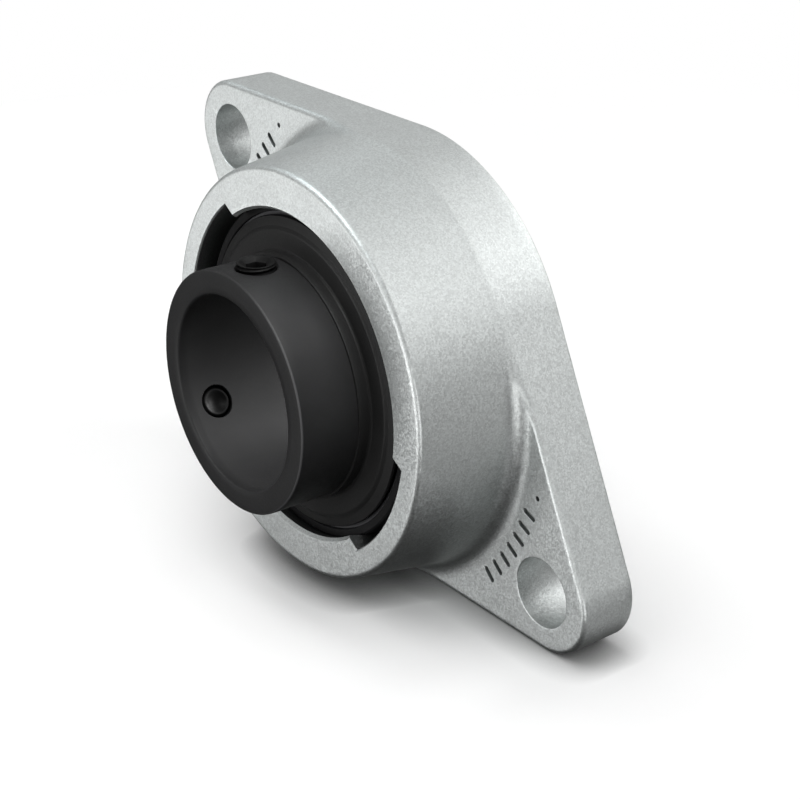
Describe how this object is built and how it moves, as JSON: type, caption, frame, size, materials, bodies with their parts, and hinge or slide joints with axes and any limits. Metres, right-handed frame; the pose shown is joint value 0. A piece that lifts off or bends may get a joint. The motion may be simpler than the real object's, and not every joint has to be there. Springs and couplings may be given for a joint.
{
  "type": "flange mount bearing",
  "caption": "Oval two-bolt flange bearing: cast housing with a spherical seat holding a self-aligning sealed ball bearing insert, locked to the shaft by two set screws.",
  "frame": {"origin": "centre of the flat mounting face, on the shaft axis", "axes": "+Z along the shaft axis, out of the hub; +X towards one bolt hole"},
  "size_m": [0.189, 0.1148, 0.0606],
  "materials": {
    "housing_casting": "zinc-coated casting, pale silver grey with a fine sparkling grain, semi-matt",
    "ring_black": "black-treated bearing steel, satin",
    "flinger_black": "black-treated pressed sheet steel, satin",
    "seal_plate": "phosphated pressed sheet steel, matt",
    "seal_rubber": "moulded nitrile rubber, matt black",
    "ball_steel": "polished hardened steel",
    "cage_steel": "pressed sheet steel, tumbled, lightly oiled",
    "rivet_steel": "formed steel rivet heads",
    "screw_black": "black oxide set screw, slightly glossy"
  },
  "bodies": {
    "housing": {"housing": "housing_casting"},
    "outer_ring": {"outer_ring": "ring_black", "seal_plate_front": "seal_plate", "seal_plate_rear": "seal_plate", "seal_lip_front": "seal_rubber", "seal_lip_rear": "seal_rubber"},
    "inner_ring": {"inner_ring": "ring_black", "flinger_front": "flinger_black", "flinger_rear": "flinger_black"},
    "cage": {"cage_front": "cage_steel", "cage_rear": "cage_steel", "cage_rivets": "rivet_steel"},
    "set_screw_a": {"set_screw_a": "screw_black"},
    "set_screw_b": {"set_screw_b": "screw_black"},
    "ball_01": {"ball_01": "ball_steel"},
    "ball_02": {"ball_02": "ball_steel"},
    "ball_03": {"ball_03": "ball_steel"},
    "ball_04": {"ball_04": "ball_steel"},
    "ball_05": {"ball_05": "ball_steel"},
    "ball_06": {"ball_06": "ball_steel"},
    "ball_07": {"ball_07": "ball_steel"},
    "ball_08": {"ball_08": "ball_steel"},
    "ball_09": {"ball_09": "ball_steel"},
    "ball_10": {"ball_10": "ball_steel"}
  },
  "joints": [
    {"name": "insert_alignment", "type": "hinge", "parent": "housing", "child": "outer_ring", "pos_m": [0, 0, 0.028], "axis": [1, 0, 0], "range_deg": [-5, 5]},
    {"name": "inner_ring_spin", "type": "hinge", "parent": "outer_ring", "child": "inner_ring", "pos_m": [0, 0, 0.028], "axis": [0, 0, 1], "continuous": true},
    {"name": "cage_spin", "type": "hinge", "parent": "outer_ring", "child": "cage", "pos_m": [0, 0, 0.028], "axis": [0, 0, 1], "continuous": true},
    {"name": "ball_01_spin", "type": "hinge", "parent": "cage", "child": "ball_01", "pos_m": [0.035, 0, 0.028], "axis": [0, 0, 1], "continuous": true},
    {"name": "ball_02_spin", "type": "hinge", "parent": "cage", "child": "ball_02", "pos_m": [0.02832, 0.02057, 0.028], "axis": [0, 0, 1], "continuous": true},
    {"name": "ball_03_spin", "type": "hinge", "parent": "cage", "child": "ball_03", "pos_m": [0.01082, 0.03329, 0.028], "axis": [0, 0, 1], "continuous": true},
    {"name": "ball_04_spin", "type": "hinge", "parent": "cage", "child": "ball_04", "pos_m": [-0.01082, 0.03329, 0.028], "axis": [0, 0, 1], "continuous": true},
    {"name": "ball_05_spin", "type": "hinge", "parent": "cage", "child": "ball_05", "pos_m": [-0.02832, 0.02057, 0.028], "axis": [0, 0, 1], "continuous": true},
    {"name": "ball_06_spin", "type": "hinge", "parent": "cage", "child": "ball_06", "pos_m": [-0.035, 0, 0.028], "axis": [0, 0, 1], "continuous": true},
    {"name": "ball_07_spin", "type": "hinge", "parent": "cage", "child": "ball_07", "pos_m": [-0.02832, -0.02057, 0.028], "axis": [0, 0, 1], "continuous": true},
    {"name": "ball_08_spin", "type": "hinge", "parent": "cage", "child": "ball_08", "pos_m": [-0.01082, -0.03329, 0.028], "axis": [0, 0, 1], "continuous": true},
    {"name": "ball_09_spin", "type": "hinge", "parent": "cage", "child": "ball_09", "pos_m": [0.01082, -0.03329, 0.028], "axis": [0, 0, 1], "continuous": true},
    {"name": "ball_10_spin", "type": "hinge", "parent": "cage", "child": "ball_10", "pos_m": [0.02832, -0.02057, 0.028], "axis": [0, 0, 1], "continuous": true},
    {"name": "set_screw_a_travel", "type": "slide", "parent": "inner_ring", "child": "set_screw_a", "axis": [0.5299, -0.848, 0], "range_m": [-0.004, 0.00035]},
    {"name": "set_screw_b_travel", "type": "slide", "parent": "inner_ring", "child": "set_screw_b", "axis": [0.4695, 0.8829, 0], "range_m": [-0.004, 0.00035]}
  ],
  "couplings": [
    {"joint": "cage_spin", "follows": "inner_ring_spin", "ratio": 0.40929},
    {"joint": "ball_01_spin", "follows": "inner_ring_spin", "ratio": -2.6652},
    {"joint": "ball_02_spin", "follows": "inner_ring_spin", "ratio": -2.6652},
    {"joint": "ball_03_spin", "follows": "inner_ring_spin", "ratio": -2.6652},
    {"joint": "ball_04_spin", "follows": "inner_ring_spin", "ratio": -2.6652},
    {"joint": "ball_05_spin", "follows": "inner_ring_spin", "ratio": -2.6652},
    {"joint": "ball_06_spin", "follows": "inner_ring_spin", "ratio": -2.6652},
    {"joint": "ball_07_spin", "follows": "inner_ring_spin", "ratio": -2.6652},
    {"joint": "ball_08_spin", "follows": "inner_ring_spin", "ratio": -2.6652},
    {"joint": "ball_09_spin", "follows": "inner_ring_spin", "ratio": -2.6652},
    {"joint": "ball_10_spin", "follows": "inner_ring_spin", "ratio": -2.6652}
  ]
}
